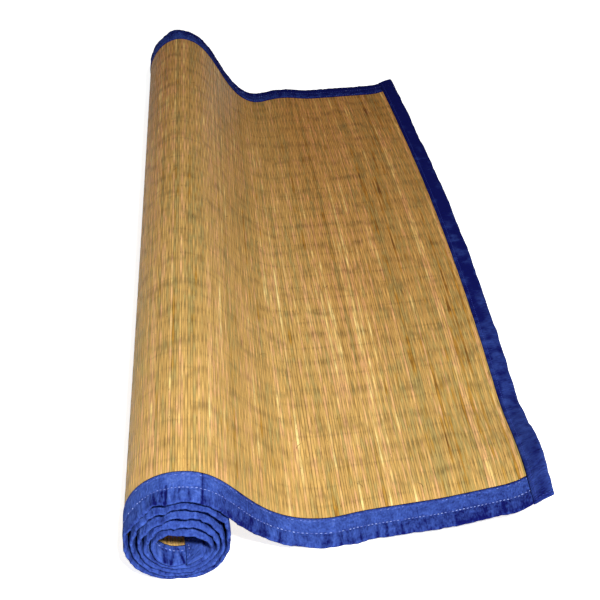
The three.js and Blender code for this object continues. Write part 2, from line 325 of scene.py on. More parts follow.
def make_tubes(name, points, material, slot, replaces, strips=1, rows=1, **attributes):
    """A piece of closed tubes, whose points are numbered by tube, ring and side, that rides on the mat.

    Its attributes are values for its material at each point.
    """
    tubes, rings, sides = points.shape[:3]
    points = points.reshape(-1, 3)
    layout = tube_layout(tubes, rings, sides, strips, rows)
    plain = tube_faces(tubes, rings, sides)
    faces = facing_out(points, plain)
    if faces is not plain:
        quad_count = len(faces[0]) * 4
        layout = np.concatenate(
            [
                layout[:quad_count].reshape(-1, 4, 2)[:, ::-1].reshape(-1, 2),
                layout[quad_count:].reshape(-1, sides, 2)[:, ::-1].reshape(-1, 2),
            ]
        )
    corners = np.concatenate([group.ravel() for group in faces])
    counts = np.concatenate([np.full(len(group), group.shape[1]) for group in faces])
    mesh = bpy.data.meshes.new(name)
    mesh.vertices.add(len(points))
    mesh.vertices.foreach_set("co", points.astype(np.float32).ravel())
    mesh.loops.add(len(corners))
    mesh.loops.foreach_set("vertex_index", corners.astype(np.int32))
    mesh.polygons.add(len(counts))
    mesh.polygons.foreach_set("loop_start", (np.cumsum(counts) - counts).astype(np.int32))
    mesh.polygons.foreach_set("use_smooth", np.ones(len(counts), bool))
    mesh.uv_layers.new(name="OFBake").data.foreach_set("uv", layout.astype(np.float32).ravel())
    mesh.update(calc_edges=True)
    for key, values in attributes.items():
        is_vector = np.ndim(values) == 4
        shape = (tubes, rings, sides, 3) if is_vector else (tubes, rings, sides)
        values = np.broadcast_to(values, shape)
        layer = mesh.attributes.new(key, "FLOAT_VECTOR" if is_vector else "FLOAT", "POINT")
        layer.data.foreach_set("vector" if is_vector else "value", values.astype(np.float32).ravel())
    piece = bpy.data.objects.new(name, mesh)
    bpy.context.scene.collection.objects.link(piece)
    mesh.materials.append(material)
    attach(piece, "root")
    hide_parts(*replaces)
    return piece


# ------------------------------------------------------------------ helpers for materials


def linear(hex_colour):
    """An sRGB hex colour as linear red, green and blue."""
    values = [int(hex_colour[k : k + 2], 16) / 255 for k in (1, 3, 5)]
    return tuple(v / 12.92 if v <= 0.04045 else ((v + 0.055) / 1.055) ** 2.4 for v in values)


def add_node(tree, kind, inputs=(), **settings):
    """Adds a shader node with its settings. Each input is (name or number, value).

    A socket as value is linked, and so is the first output of a node.
    """
    node = tree.nodes.new("ShaderNode" + kind)
    for key, value in settings.items():
        setattr(node, key, value)
    for key, value in inputs:
        socket = node.inputs[key]
        if isinstance(value, bpy.types.Node):
            value = value.outputs[0]
        if isinstance(value, bpy.types.NodeSocket):
            tree.links.new(value, socket)
        elif socket.type == "RGBA":
            socket.default_value = (*value[:3], 1)
        else:
            socket.default_value = value
    return node


def new_material(name):
    """An empty material and its node tree."""
    material = bpy.data.materials.new(name)
    material.use_nodes = True
    material.node_tree.nodes.clear()
    return material, material.node_tree


def set_ramp(ramp, tones):
    """Gives a colour ramp its tones, each a position and a colour."""
    elements = ramp.color_ramp.elements
    while len(elements) < len(tones):
        elements.new(1)
    for element, (position, colour) in zip(elements, tones):
        element.position = position
        element.color = (*colour, 1)


def add_patterns(tree, place, patterns):
    """Random patterns over a place in metres, each given by its cells to a metre each way, and its detail."""
    nodes = []
    for stretch, detail in patterns:
        at = add_node(tree, "VectorMath", [(0, place), (1, stretch)], operation="MULTIPLY")
        nodes.append(add_node(tree, "TexNoise", [("Vector", at), ("Scale", 1), ("Detail", detail)]))
    return nodes


def reed_material(colours, warp_spacing):
    """Dried reed: grass stems, flattened and sun-dried.

    A waxy skin with long fine grain. Each stem has its own tone, from brown and olive to straw, which drifts
    along it. It is painted lighter where it stands proud between the warps and darker where it passes under,
    a painted highlight and shade of the weave. It is darker in the grooves that the warps press in, and along
    the covered sides of each stem, as dust and painted shade.
    """
    material, tree = new_material("dried_reed")
    place = add_node(tree, "Attribute", attribute_name="stem_place").outputs["Vector"]
    tone = add_node(tree, "Attribute", attribute_name="stem_tone").outputs["Fac"]
    weave = add_node(tree, "Attribute", attribute_name="stem_weave").outputs["Fac"]
    redder_shade = add_node(tree, "Attribute", attribute_name="stem_redder_shade").outputs["Fac"]
    # The place is across a stem, along it, and the stem's number, so the third scale goes from stem to stem.
    # Real grain is about 0.2 mm wide. It is drawn 0.6 mm wide, so that it shows.
    # The rows and patches of dust below darken the stems as dust and painted shade together.
    drift, grain, amount, phase, patch, fleck = add_patterns(
        tree,
        place,
        [
            ((0, 17, 2.3), 2),  # the tone drifts over about 60 mm of a stem
            ((1700, 20, 3.1), 3),  # the grain is 50 mm long
            ((0, 24, 1.7), 1),  # how much stands proud changes over about 40 mm
            ((0, 4, 0.05), 2),  # the rows of dust wave over about 250 mm and 20 stems
            ((0, 30, 0.12), 2),  # dust lies in patches of about 33 mm and 8 stems
            ((900, 150, 7.7), 1),  # brown flecks are about 1 mm wide and 7 mm long
        ],
    )
    grain.inputs["Roughness"].default_value = 0.6

    drift = add_node(tree, "MapRange", [("Value", drift), ("To Min", -0.42), ("To Max", 0.42)])
    toned = add_node(tree, "Math", [(0, tone), (1, drift)], operation="ADD")
    ramp = add_node(tree, "ValToRGB", [("Fac", toned)])
    tones = (
        (0.0, colours.reed_brown),
        (0.16, colours.reed_ochre),
        (0.32, colours.reed_olive),
        (0.46, colours.reed_tan),
        (0.64, colours.reed_gold),
        (0.76, colours.reed_rose),
        (0.88, colours.reed_straw),
        (1.0, colours.reed_pale),
    )
    set_ramp(ramp, tones)
    streak = add_node(tree, "MapRange", [("Value", grain), ("To Min", 0.52), ("To Max", 1.5)])

    # A stem goes over one warp and under the next, more in some places than in others.
    angle = add_node(tree, "Math", [(0, weave), (1, math.pi)], operation="MULTIPLY")
    over = add_node(tree, "Math", [(0, angle)], operation="COSINE")
    amount = add_node(
        tree,
        "MapRange",
        [("Value", amount), ("From Min", 0.3), ("From Max", 0.7), ("To Min", -0.06), ("To Max", 0.26)],
    )
    # Painted highlight and shade: a stem is lighter where it stands proud over a warp, and darker where it
    # passes under.
    proud = add_node(tree, "Math", [(0, over), (1, amount), (2, 0.97)], operation="MULTIPLY_ADD")

    # The groove of a warp is about 8 mm wide.
    groove = add_node(tree, "Math", [(0, angle)], operation="SINE")
    groove = add_node(tree, "Math", [(0, groove)], operation="ABSOLUTE")
    groove = add_node(
        tree,
        "MapRange",
        [("Value", groove), ("From Max", 0.42), ("To Min", 0.55), ("To Max", 0)],
        interpolation_type="SMOOTHSTEP",
    )
    # Every second warp marks all the stems with short dark dashes in a ragged, wavy row, as dust and painted
    # shade where they dip.
    axes = add_node(tree, "SeparateXYZ", [(0, place)]).outputs
    row = add_node(tree, "Math", [(0, axes["Y"]), (1, math.pi / warp_spacing)], operation="MULTIPLY")
    for value, weight in ((phase, 10), (grain, 5)):
        row = add_node(tree, "Math", [(0, value), (1, weight), (2, row)], operation="MULTIPLY_ADD")
    row = add_node(tree, "Math", [(0, row)], operation="COSINE")
    row = add_node(
        tree,
        "MapRange",
        [("Value", row), ("From Min", -1), ("From Max", -0.55), ("To Min", 1), ("To Max", 0)],
        interpolation_type="SMOOTHSTEP",
    )
    groove = add_node(tree, "Math", [(0, groove), (1, row)], operation="MAXIMUM")
    # Dust and painted shade lie in the grooves and the rows, in patches.
    dust = add_node(
        tree, "MapRange", [("Value", patch), ("From Min", 0.4), ("From Max", 0.62), ("To Max", 0.3)]
    )
    dust = add_node(tree, "Math", [(0, groove), (1, dust)], operation="MULTIPLY")
    clean = add_node(tree, "Math", [(0, 1), (1, dust)], operation="SUBTRACT")
    # Dust and painted shade also lie along both sides of a stem, where the next one covers it.
    side = add_node(tree, "Math", [(0, axes["X"])], operation="ABSOLUTE")
    side = add_node(
        tree,
        "MapRange",
        [("Value", side), ("From Min", 0.0008), ("From Max", 0.0015), ("To Min", 1), ("To Max", 0.6)],
        interpolation_type="SMOOTHSTEP",
    )
    clean = add_node(tree, "Math", [(0, clean), (1, side)], operation="MULTIPLY")
    shade = add_node(tree, "Math", [(0, streak), (1, proud)], operation="MULTIPLY")
    shade = add_node(tree, "Math", [(0, shade), (1, clean)], operation="MULTIPLY")
    colour = add_node(tree, "VectorMath", [(0, ramp), ("Scale", shade)], operation="SCALE")
    # The stems are painted redder and darker towards the far long edge, a painted shade where less light
    # falls, more so on the roll, and also on the open sheet past the landing.
    redder = add_node(tree, "VectorMath", [(0, colour), (1, (0.9, 0.78, 0.68))], operation="MULTIPLY")
    colour = add_node(
        tree, "Mix", [(0, redder_shade), (6, colour), (7, redder)], data_type="RGBA", clamp_factor=False
    )
    fleck = add_node(
        tree, "MapRange", [("Value", fleck), ("From Min", 0.68), ("From Max", 0.78), ("To Max", 0.7)]
    )
    colour = add_node(
        tree, "Mix", [(0, fleck), (6, colour.outputs[2]), (7, colours.reed_brown)], data_type="RGBA"
    )
    gloss = add_node(tree, "MapRange", [("Value", grain), ("To Min", 0.4), ("To Max", 0.66)])
    bump = add_node(tree, "Bump", [("Height", grain), ("Strength", 0.5), ("Distance", 0.00012)])
    skin = [("Base Color", colour.outputs[2]), ("Roughness", gloss), ("Normal", bump)]
    skin += [("Specular IOR Level", 0.2), ("IOR", 1.5)]
    shader = add_node(tree, "BsdfPrincipled", skin)
    add_node(tree, "OutputMaterial", [("Surface", shader)])
    return material


def tape_material(colours):
    """Woven cotton tape, dyed blue: soft and matt. It is painted lighter along its folds and ridges, as wear
    and painted highlight, and darker in creases and pucker hollows, as painted shade.
    """
    material, tree = new_material("woven_cotton_tape")
    place = add_node(tree, "Attribute", attribute_name="cloth_place").outputs["Vector"]
    tone_and_shade = add_node(tree, "Attribute", attribute_name="cloth_tone_and_shade").outputs["Fac"]
    mottle_amount = add_node(tree, "Attribute", attribute_name="cloth_mottle_amount").outputs["Fac"]
    patch, crumple, slub = add_patterns(
        tree,
        place,
        [
            ((120, 80, 1), 3),  # the dye is uneven over about 10 mm
            ((260, 420, 5), 3),  # the cloth is crumpled over 2 to 4 mm and less
            ((85, 1000, 3), 2),  # slubs are thicker threads, about 1 mm wide and 12 mm long
        ],
    )
    patch = add_node(tree, "MapRange", [("Value", patch), ("To Min", -0.3), ("To Max", 0.3)])
    # The crumples are also painted into the tone, as painted light and shade over the same pattern as their
    # bump.
    patch = add_node(tree, "Math", [(0, crumple), (1, 0.6), (2, patch)], operation="MULTIPLY_ADD")
    patch = add_node(tree, "Math", [(0, patch), (1, 0.3)], operation="SUBTRACT")
    patch = add_node(tree, "Math", [(0, patch), (1, mottle_amount)], operation="MULTIPLY")
    slub = add_node(tree, "MapRange", [("Value", slub), ("To Min", -0.14), ("To Max", 0.14)])
    tone_shade_and_wear = add_node(tree, "Math", [(0, tone_and_shade), (1, patch)], operation="ADD")
    tone_shade_and_wear = add_node(tree, "Math", [(0, tone_shade_and_wear), (1, slub)], operation="ADD")
    ramp = add_node(tree, "ValToRGB", [("Fac", tone_shade_and_wear)])
    set_ramp(ramp, ((0.0, colours.cloth_deep_shade), (0.5, colours.cloth_blue), (1.0, colours.cloth_worn_and_lit)))

    # Real threads are about 0.3 mm apart. They are drawn 0.8 mm apart, so that they show.
    thread = math.tau / 0.0008
    at = add_node(tree, "VectorMath", [(0, place), (1, (thread, thread, 0))], operation="MULTIPLY")
    crossed = add_node(tree, "VectorMath", [(0, at)], operation="SINE")
    axes = add_node(tree, "SeparateXYZ", [(0, crossed)]).outputs
    weave = add_node(tree, "Math", [(0, axes["X"]), (1, axes["Y"])], operation="MULTIPLY")
    height = add_node(tree, "Math", [(0, weave), (1, slub)], operation="ADD")
    bump = add_node(tree, "Bump", [("Height", height), ("Strength", 0.45), ("Distance", 0.0002)])
    bump = add_node(
        tree, "Bump", [("Height", crumple), ("Strength", 0.8), ("Distance", 0.0022), ("Normal", bump)]
    )
    cloth = [("Base Color", ramp), ("Roughness", 0.95), ("Normal", bump)]
    cloth += [("Specular IOR Level", 0.05), ("IOR", 1.45)]
    shader = add_node(tree, "BsdfPrincipled", cloth)
    add_node(tree, "OutputMaterial", [("Surface", shader)])
    return material


def thread_material(name, light, dark, pattern_scale):
    """Twisted thread: matt, with a tone that changes from place to place."""
    material, tree = new_material(name)
    place = add_node(tree, "Attribute", attribute_name="thread_place").outputs["Vector"]
    shift = add_node(tree, "Attribute", attribute_name="thread_tone").outputs["Fac"]
    (tone,) = add_patterns(tree, place, [(pattern_scale, 2)])
    tone = add_node(tree, "Math", [(0, tone), (1, shift)], operation="ADD")
    ramp = add_node(tree, "ValToRGB", [("Fac", tone)])
    set_ramp(ramp, ((0.4, dark), (0.7, light)))
    # The real twist is about 0.5 mm long. It is drawn 2 mm long. A stitch is all at one place, and has none.
    twist = add_node(tree, "TexWave", [("Vector", place), ("Scale", 320)], bands_direction="DIAGONAL")
    twist = twist.outputs["Fac"]
    bump = add_node(tree, "Bump", [("Height", twist), ("Strength", 0.4), ("Distance", 0.0001)])
    cotton = [("Base Color", ramp), ("Roughness", 0.75), ("Normal", bump), ("IOR", 1.5)]
    shader = add_node(tree, "BsdfPrincipled", cotton)
    add_node(tree, "OutputMaterial", [("Surface", shader)])
    return material


def floor_material(colours):
    """Matt pale floor. Its white shows to the eye and in gloss, and it still keeps a soft shadow."""
    material, tree = new_material("pale_floor")
    diffuse = add_node(tree, "BsdfDiffuse", [("Color", colours.floor)])
    white = add_node(tree, "Emission", [("Color", (1, 1, 1)), ("Strength", 0.8)])
    both = add_node(tree, "AddShader", [(0, diffuse), (1, white)])
    rays = add_node(tree, "LightPath")
    seen = rays.outputs["Is Camera Ray"]
    for ray in ("Is Glossy Ray", "Is Transmission Ray"):
        seen = add_node(tree, "Math", [(0, seen), (1, rays.outputs[ray])], operation="MAXIMUM")
    shown = add_node(tree, "MixShader", [(0, seen), (1, diffuse), (2, both)])
    add_node(tree, "OutputMaterial", [("Surface", shown)])
    return material


# ------------------------------------------------------------------ reeds and warps

REED_INSET = 3  # from the sheet's two ends to the first and the last reed
REED_ENDS = (0.006, 0.994)  # shares of the width: the stems stop just inside the folds
WEAVE_FADE = (12, 35)  # the weave is flat this far from the long edges, and full so much further in
FOLD_REACH = 32  # the long edges stray up and down this far in
WARP_INSET = 45  # from the long edges to the first and the last warp, at least
OCHRE_SHARE = 0.53  # of the way from the landing to the free end lies a pair of ochre stems
OUTSIDE_TURNS = 1.12  # turns back from the top of the roll that show from outside


def reed_layout(sizes):
    """Where each stem lies along the sheet, and how wide it is. They lie side by side with no gap."""
    run = SHEET_LENGTH - 2 * REED_INSET
    widths = 1 + 0.3 * noise(np.arange(int(run / (sizes.reed_pitch / MM))), 0, 3)
    widths = widths * run / widths.sum()
    return REED_INSET + np.cumsum(widths) - widths / 2, widths


def weave_height(index, width_place, sizes):
    """How far a stem stands over the sheet's middle. It passes over every other warp and under the rest."""
    from_edge = np.minimum(width_place, MAT_WIDTH - width_place)
    fade = smooth((from_edge - WEAVE_FADE[0]) / WEAVE_FADE[1])
    warps = width_place / (sizes.warp_spacing / MM)
    return sizes.weave_height / MM * fade * np.cos(math.pi * (warps + index))


def stem_tones(index, width_place, streak):
    """Tones from 0, brown, to 1, pale straw. Neighbouring stems are a little alike, and one pair is ochre."""
    tone = 0.54 + 0.24 * noise(index, 0, 11) + 0.14 * noise(index / 7, width_place / 160, 12)
    tone = tone + 0.12 * noise(index, width_place / 130, 13)
    return mix(tone, 0.22, 0.9 * np.exp(-(((index - streak - 0.5) / 1.1) ** 2)))


def make_reeds(name, indices, shares, sizes, material):
    """Stems side by side, as flattened tubes of six sides."""
    lengths, widths = reed_layout(sizes)
    count = len(lengths)
    index = indices[:, None, None]
    share = shares[None, :, None]
    angle = np.radians(np.arange(270, 630, 60))[None, None, :]
    width_place = share * MAT_WIDTH
    # Stems aren't straight: each wanders by itself, and groups of them wander together.
    wander = 0.2 * noise(index, width_place / 170, 1) + 0.9 * noise(index / 14, width_place / 300, 2)
    inside = np.minimum(index, count - 1 - index)
    wander = wander * smooth(inside / 6)
    length = lengths[indices][:, None, None] + wander
    size = sizes.reed_overlap + 0.08 * noise(index, width_place / 50, 5)
    across = widths[indices][:, None, None] / 2 * size * np.cos(angle + math.radians(30))
    rise = sizes.reed_thickness / MM / 2 * np.sin(angle + math.radians(30))
    weave = weave_height(index, width_place, sizes)
    place_y = across_sheet(length, share)
    for side, from_edge in (("near", width_place), ("far", MAT_WIDTH - width_place)):
        weave = weave + fold_shift(length, side)[1] * (1 - smooth(from_edge / FOLD_REACH))
    points = sheet_point(length + across, place_y, weave + rise)
    streak = np.searchsorted(lengths, LANDING + OCHRE_SHARE * FLOOR_LENGTH)
    # Painted shade: more towards the far long edge, more again on the roll, and also on the open sheet past
    # the landing away from the near edge.
    redder_shade = np.clip((share - 0.3) / 0.6, 0, 1)
    redder_shade = redder_shade + 0.62 * smooth((length - LANDING) / 60) * smooth((share - 0.12) / 0.3)
    redder_shade = redder_shade + 0.7 * share * smooth((ROLL_TOP - 5 - length) / 50)
    values = {
        "stem_tone": stem_tones(index, width_place, streak),
        "stem_weave": width_place / (sizes.warp_spacing / MM) + index,
        "stem_place": vectors(across * MM, width_place * MM, index),
        "stem_redder_shade": redder_shade,
    }
    piece = make_tubes(name, points, material, "reeds", ["reed_panel"], **values)
    return piece


def make_warps(sizes, material):
    """The threads that hold the stems: each passes under a stem that stands proud, and over the next."""
    warp_spacing = sizes.warp_spacing / MM
    first, last = WARP_INSET / warp_spacing, (MAT_WIDTH - WARP_INSET) / warp_spacing
    warps = np.arange(math.ceil(first), math.floor(last) + 1)
    lengths = reed_layout(sizes)[0]
    outside = np.flatnonzero(lengths > length_at_turn(OUTSIDE_TURNS))
    index = outside[None, :, None]
    width_place = warps[:, None, None] * warp_spacing
    angle = np.radians(np.arange(45, 405, 90))[None, None, :]
    radius = sizes.warp_thickness / MM / 2
    length = lengths[outside][None, :, None]
    height = -0.9 * weave_height(index, width_place, sizes) + radius * np.sin(angle)
    share = width_place / MAT_WIDTH
    points = sheet_point(length, across_sheet(length, share) + radius * np.cos(angle), height)
    place = vectors(width_place * MM, length * MM, 0)
    return make_tubes(
        "warps", points, material, "reeds", ["reed_panel"], strips=4, thread_place=place
    )


# ------------------------------------------------------------------ cloth tape

TapeRow = namedtuple("TapeRow", "inward half")
LONG_TAPE_FOLD = (  # across a long binding, from its fold: how far its outside is from the sheet's middle
    TapeRow(0, 0),
    TapeRow(0.3, 0.95),
    TapeRow(1.3, 1.6),
    TapeRow(3.5, 1.85),
    TapeRow(6, 1.95),
    TapeRow(9, 2),
    TapeRow(12, 2),
)
LONG_TAPE_TOP = (
    *LONG_TAPE_FOLD,
    TapeRow(15, 1.85),
    TapeRow(17.5, 1.35),
    TapeRow(20.5, 1.8),
    TapeRow(27, 1.85),
    TapeRow(33.5, 1.6),
    TapeRow(36, 1.25),
    TapeRow(38.5, 1.35),
    TapeRow(40.6, 1.05),
)
LONG_TAPE_UNDER = (  # the tape is narrower underneath
    *LONG_TAPE_FOLD,
    TapeRow(15, 1.8),
    TapeRow(17.5, 1.4),
    TapeRow(20, 1.6),
    TapeRow(23, 1.5),
    TapeRow(25, 1.05),
)
LONG_TAPE_INSIDE = (TapeRow(2.2, 0.8), TapeRow(20, 0.8))
LONG_TAPE_EDGES = (TapeRow(40.2, 0.78), TapeRow(24.6, 0.78))
LONG_SEAMS = (17.5, 36)
END_TAPE = (  # the same across the tape of a short end
    TapeRow(0, 0),
    TapeRow(0.3, 1),
    TapeRow(1.2, 1.65),
    TapeRow(3.5, 1.95),
    TapeRow(7, 2),
    TapeRow(11.5, 1.9),
    TapeRow(14.5, 1.7),
    TapeRow(16, 1.35),
    TapeRow(17.6, 1.5),
    TapeRow(19, 1.4),
    TapeRow(20.4, 1.1),
)
END_TAPE_INSIDE = (TapeRow(2.2, 0.84), TapeRow(10, 0.84))
END_TAPE_EDGES = (TapeRow(20, 0.84), TapeRow(20, 0.84))
END_SEAM = 16
END_BOW = 1.6  # how much further out its fold is in the middle
CORNER_RISE = 0.45  # the end's tape lies this much higher where it is over the long bindings
CORNER_REACH = 45  # how far in from a long edge that is
WIDENING = {"near": 1.7, "far": 0.6}  # how much wider than its seams the tape is pulled
HANGING = 2.6  # how far the near fold hangs down where the sheet falls from the roll
HANGING_PLACE = ROLL_TOP + 75
TIP = {"near": 2.0, "far": 1.6}  # how far the end's tape reaches past the long edges

Crease = namedtuple("Crease", "length slant start stop depth width top")
HOLE_FLOOR = length_at_turn(4.53)  # the inner turn where it faces up into the hole
CREASES = (  # across the near binding, at a length of the sheet and between two distances from the fold
    Crease(ROLL_TOP - 23, 0.1, 0, 20, 1.5, 1.6, 1),
    Crease(ROLL_TOP - 36, -0.15, 1, 17, 0.9, 1.4, 1),
    Crease(ROLL_TOP - 29, 0.2, 3, 16, 0.6, 1, 1),
    Crease(ROLL_TOP - 12, 0.1, 2, 17, 0.7, 1.2, 1),
    Crease(ROLL_TOP - 5, -0.1, 1, 16, 0.8, 1.2, 1),
    Crease(ROLL_TOP + 5, -0.05, 1, 16, 0.9, 1.3, 1),
    Crease(ROLL_TOP + 17, 0.03, 0, 41, 1.2, 1.5, 1),
    Crease(HOLE_FLOOR, 0.3, 0, 22, 1.5, 1.2, -1),
    Crease(HOLE_FLOOR + 14, -0.25, 0, 22, 1.5, 1.2, -1),
    Crease(HOLE_FLOOR + 24, -0.4, 14, 34, 1.2, 1.2, -1),
)
LEAST_HALF = 0.95  # no crease goes deeper than the stems


# The tape's dye with painted shade, from 0, deepest, to 1, pale with wear. The far edge and the corners of
# the free end are darker, a painted shade where less light falls.
DYE_AND_SHADE = {"near": 0.37, "far": 0.08, "near_corner": 0.17, "far_corner": -0.12}


def tape_seed(side):
    return 20 if side == "near" else 40


def puckers(length, inward, side, top):
    """The small ridges across the tape, which are strongest between its fold and its middle seam."""
    seed = tape_seed(side) + (0 if top > 0 else 5)
    along = length + 1.6 * noise(length / 20, inward / 12, seed)
    ridges = noise(along / 3.8, inward / 26, seed + 1) + 0.7 * noise(along / 1.9, inward / 20, seed + 2)
    strength = 0.75 + 0.6 * noise(length / 32, 0, seed + 3)
    outer = smooth((17.4 - inward) / 1.6) * (0.5 + 0.5 * smooth(inward / 8))
    inner = 0.3 * smooth((inward - 18) / 4) * smooth((36 - inward) / 3)
    return 0.62 * ridges * strength * (outer + inner)


def creases(length, inward, side, top):
    """The few deep creases, as a depth below the tape's surface."""
    depth = 0
    for crease in CREASES:
        if side == "near" and top == crease.top:
            middle_length = crease.length + crease.slant * (inward - crease.start)
            across = np.exp(-(((length - middle_length) / crease.width) ** 2))
            zone = smooth((inward - crease.start + 2) / 2) * smooth((crease.stop + 2 - inward) / 2)
            depth = depth + crease.depth * across * zone
    return depth


def long_tape_half(length, inward, side, top):
    """How far a long binding's outside is from the sheet's middle."""
    rows = LONG_TAPE_TOP if top > 0 else LONG_TAPE_UNDER
    half = np.interp(inward, [row.inward for row in rows], [row.half for row in rows])
    from_end = np.minimum(length, (SHEET_LENGTH - length))
    under_end = smooth((27 - from_end) / 5)
    body = smooth(inward / 1.5)
    seed = tape_seed(side) + (7 if top > 0 else 9)
    rim = 0.4 * noise(length / 9, 0, seed) + 0.35 * noise(length / 3.1, 0, seed + 1)
    relief = puckers(length, inward, side, top) - creases(length, inward, side, top)
    relief = relief + rim * (1 - smooth(inward / 9))
    shape = half * mix(1, 0.68, under_end) + relief * body * (1 - under_end)
    return np.where(inward > 1, np.maximum(shape, LEAST_HALF), shape)


def roll_pitch(length, side):
    """From one turn to the next at a place on the roll. Off the roll it is a plain large number."""
    turn = np.interp(length, TURN_LENGTHS, TURN_SAMPLES)
    outer, inner = getattr(ROLL, side + "_outer"), getattr(ROLL, side + "_inner")
    return around((outer - inner) / TURNS_BETWEEN, ROLL_START_DEG + turn * 360)


def fold_shift(length, side):
    """How the fold of a long binding strays: out and in, and up and down between the turns next to it."""
    seed = tape_seed(side)
    out = 0.9 * noise(length / 19, 0, seed + 11) + 0.6 * noise(length / 7.5, 0, seed + 12)
    out = out + 0.4 * noise(length / 3.6, 0, seed + 13)
    room = np.clip((roll_pitch(length, side) - 4) / 2, 0, 2)
    on_roll = smooth((ROLL_TOP - length) / 25)
    up = 0.8 * noise(length / 13, 0, seed + 14) + 0.5 * noise(length / 5, 0, seed + 15)
    hanging = HANGING * np.exp(-(((length - HANGING_PLACE) / 42) ** 2)) if side == "near" else 0
    return out, room * on_roll * up - hanging


def long_tape_point(length, inward, height, side):
    """A point of a long binding, with its fold's strays."""
    out, up = fold_shift(length, side)
    wider = WIDENING[side]
    from_end = np.minimum(length, SHEET_LENGTH - length)
    wider = wider * smooth((from_end - 20) / 20)
    inward_now = inward + (out - wider) * (1 - smooth(inward / 15))
    edge = edge_y(length, side)
    place_y = edge + inward_now if side == "near" else edge - inward_now
    return sheet_point(length, place_y, height + up * (1 - smooth(inward / FOLD_REACH)))


def tape_section(top_rows, under_rows, inside, edges):
    """A tape's section, from its top edge round the fold and back: inward, half, side, is outside."""
    top = [(row.inward, row.half, 1, 1) for row in reversed(top_rows)]
    under = [(row.inward, row.half, -1, 1) for row in under_rows[1:]]
    back = [(row.inward, row.half, -1, 0) for row in (edges[1], *reversed(inside))]
    front = [(row.inward, row.half, 1, 0) for row in (*inside, edges[0])]
    return np.array(top + under + back + front, float).T


def section_arc(inward, half, sign):
    """The distance round a section from its first point, in metres, for the weave."""
    steps = np.hypot(np.diff(inward), np.diff(half * sign))
    return np.concatenate([[0], np.cumsum(steps)]) * MM


def make_long_binding(side, sizes, material):
    """Cloth tape folded over a long edge, from one end of the mat to the other."""
    rows = LONG_TAPE_TOP, LONG_TAPE_UNDER, LONG_TAPE_INSIDE, LONG_TAPE_EDGES
    inward, half, sign, outside = tape_section(*rows)
    stations = np.linspace(4, SHEET_LENGTH - 4, int((SHEET_LENGTH - 8) / (sizes.tape_step / MM)))
    length = stations[None, :, None]
    section = inward[None, None, :]
    outer, relief, hollow = (
        np.where(sign > 0, surface(length, section, side, 1), surface(length, section, side, -1))
        for surface in (long_tape_half, puckers, creases)
    )
    height = sign * np.where(outside > 0, outer, half)
    points = long_tape_point(length, section, height, side)
    stitched = 0.1 * np.exp(-((section - LONG_SEAMS[1]) ** 2) / 6)
    unrolled = smooth((length - ROLL_TOP) / (SHEET_LENGTH - ROLL_TOP))
    # Painted shade: the long tapes are darker towards the free end, where less light falls.
    dye = DYE_AND_SHADE[side] - 0.26 * unrolled
    # Painted shade: the outer strip, among its puckers, is left darker than the strip between the seams,
    # which is painted lighter, more so on the open sheet.
    between_seams = (0.08 + 0.1 * unrolled) * smooth((section - 16) / 3) * smooth((38 - section) / 3)
    # Lighter over the top of the roll, between the first and the seventh crease of the near tape.
    from_crease = np.minimum(length - CREASES[0].length, CREASES[6].length - length)
    rubbed = 0.07 * smooth(from_crease / 2) if side == "near" else 0
    # Painted shade on the tape around 75 mm past the roll's top, where the sheet falls towards the floor.
    falling = 0.2 * np.exp(-(((length - HANGING_PLACE) / 40) ** 2))
    shaded = 0.1 * (1 - smooth((section - 1) / 5))
    # Painted light: the near tape's inner turns, inside the roll, are lighter.
    wound_in = 0.06 * smooth((length_at_turn(OUTSIDE_TURNS) - length) / 40) if side == "near" else 0
    # Painted light and shade: lighter on the pucker ridges, darker in their hollows and in the deep creases.
    tone_and_shade = dye + (0.42 - 0.14 * unrolled) * relief - 0.3 * hollow + between_seams + stitched + rubbed
    tone_and_shade = tone_and_shade - falling - shaded + wound_in
    values = {
        "cloth_place": vectors(section_arc(inward, half, sign), length * MM, 0),
        "cloth_tone_and_shade": tone_and_shade,
        "cloth_mottle_amount": 1,
    }
    name, replaces = side + "_binding_tape", [side + "_edge_binding"]
    piece = make_tubes(name, points, material, "binding", replaces, strips=4, **values)
    return piece


def end_length(from_end, is_outer):
    """A length of the sheet from a distance to its outer or inner end."""
    if not is_outer:
        return from_end
    near_run = FREE_END["near"] - FALLS["near"].landing_x
    return SHEET_LENGTH - from_end * FLOOR_LENGTH / near_run


def end_tape_half(from_end, from_edge, is_outer):
    """How far the outside of an end's tape is from the sheet's middle."""
    half = np.interp(from_end, [row.inward for row in END_TAPE], [row.half for row in END_TAPE])
    seed = 60 if is_outer else 66
    along = from_edge + 0 * from_end
    folds = 0.2 * noise(along / 34, from_end / 5, seed) + 0.2 * noise(along / 7, from_end / 9, seed + 1)
    corner = smooth((CORNER_REACH - from_edge) / 4)
    return half + folds * smooth(from_end / 3) * (1 if is_outer else 0.4) + CORNER_RISE * corner


